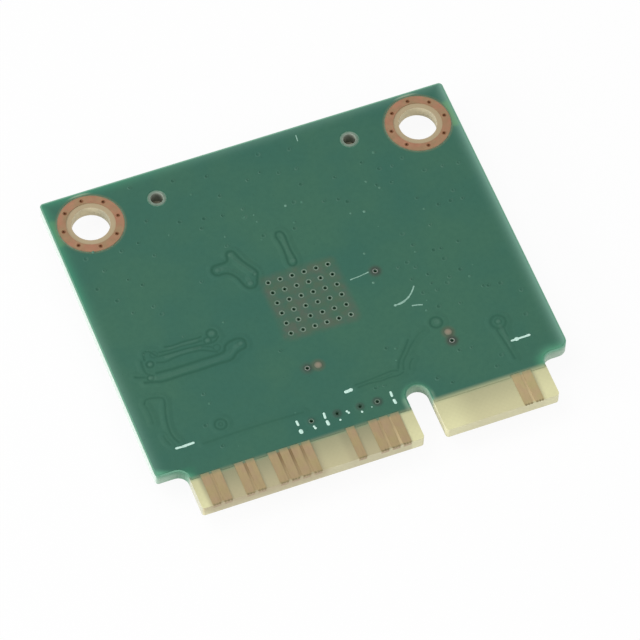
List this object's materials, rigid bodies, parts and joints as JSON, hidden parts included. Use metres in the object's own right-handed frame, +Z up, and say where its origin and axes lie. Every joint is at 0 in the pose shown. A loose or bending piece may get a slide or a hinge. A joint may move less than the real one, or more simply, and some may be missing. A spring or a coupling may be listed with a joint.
{
  "type": "laptop wireless network card",
  "caption": "Half-size plug-in radio card for a laptop: notched board with edge contacts, two screw holes, a shielded radio chip and coaxial antenna receptacles.",
  "frame": {"origin": "under the middle of the board, on the surface that the shield lid rests on", "axes": "+X along the contact edge, with the key slot on the +X side; +Y from the contacts to the screw holes; +Z up out of the solder side"},
  "size_m": [0.0298, 0.0268, 0.0024],
  "materials": {
    "laminate": "bare glass-epoxy laminate, cream, satin",
    "solder_mask": "green solder mask, semi-gloss",
    "contact_gold": "thin gold over copper, dulled",
    "bare_copper": "bare copper, matt",
    "tinned_rim": "tinned copper, satin",
    "shield_sheet": "tinned sheet steel, satin",
    "receptacle_moulding": "moulded insulator",
    "receptacle_metal": "gold plated, satin",
    "black_moulding": "moulded package, matt",
    "white_ceramic": "fired ceramic",
    "tan_ceramic": "fired ceramic with tinned ends",
    "ferrite": "ferrite, matt"
  },
  "bodies": {
    "root": {"circuit_board": "laminate", "upper_solder_mask": "solder_mask", "lower_solder_mask": "solder_mask", "contact_02": "contact_gold", "contact_04": "contact_gold", "contact_18": "contact_gold", "contact_20": "contact_gold", "contact_22": "contact_gold", "contact_26": "contact_gold", "contact_34": "contact_gold", "contact_36": "contact_gold", "contact_38": "contact_gold", "contact_40": "contact_gold", "contact_44": "contact_gold", "contact_46": "contact_gold", "contact_50": "contact_gold", "contact_52": "contact_gold", "screw_pad_left_upper": "bare_copper", "screw_pad_right_upper": "bare_copper", "screw_pad_left_lower": "bare_copper", "screw_pad_right_lower": "bare_copper", "plated_land_left": "tinned_rim", "plated_land_right": "tinned_rim", "shield_lid": "shield_sheet", "shield_fence": "shield_sheet", "receptacle_base_left": "receptacle_moulding", "receptacle_base_right": "receptacle_moulding", "receptacle_shell_left": "receptacle_metal", "receptacle_shell_right": "receptacle_metal", "receptacle_pin_left": "receptacle_metal", "receptacle_pin_right": "receptacle_metal", "radio_chip": "black_moulding", "front_end_chip_left": "black_moulding", "front_end_chip_right": "black_moulding", "memory_chip": "black_moulding", "crystal": "white_ceramic", "band_filter_left": "white_ceramic", "band_filter_right": "white_ceramic", "power_inductor_1": "ferrite", "bulk_capacitor_1": "tan_ceramic", "decoupling_capacitor_left_1": "tan_ceramic", "decoupling_capacitor_left_2": "tan_ceramic", "decoupling_capacitor_left_3": "tan_ceramic", "decoupling_capacitor_right_1": "tan_ceramic", "decoupling_capacitor_right_2": "tan_ceramic", "decoupling_capacitor_right_3": "tan_ceramic", "coupling_capacitor_1": "tan_ceramic", "coupling_capacitor_2": "tan_ceramic", "coupling_capacitor_3": "tan_ceramic", "coupling_capacitor_4": "tan_ceramic", "coupling_capacitor_5": "tan_ceramic", "coupling_capacitor_6": "tan_ceramic", "edge_resistor_1": "black_moulding", "edge_resistor_2": "black_moulding", "edge_resistor_3": "black_moulding", "edge_resistor_4": "black_moulding", "matching_coil_left": "ferrite", "matching_coil_right": "ferrite", "matching_capacitor_left": "tan_ceramic", "matching_capacitor_right": "tan_ceramic"}
  },
  "joints": []
}
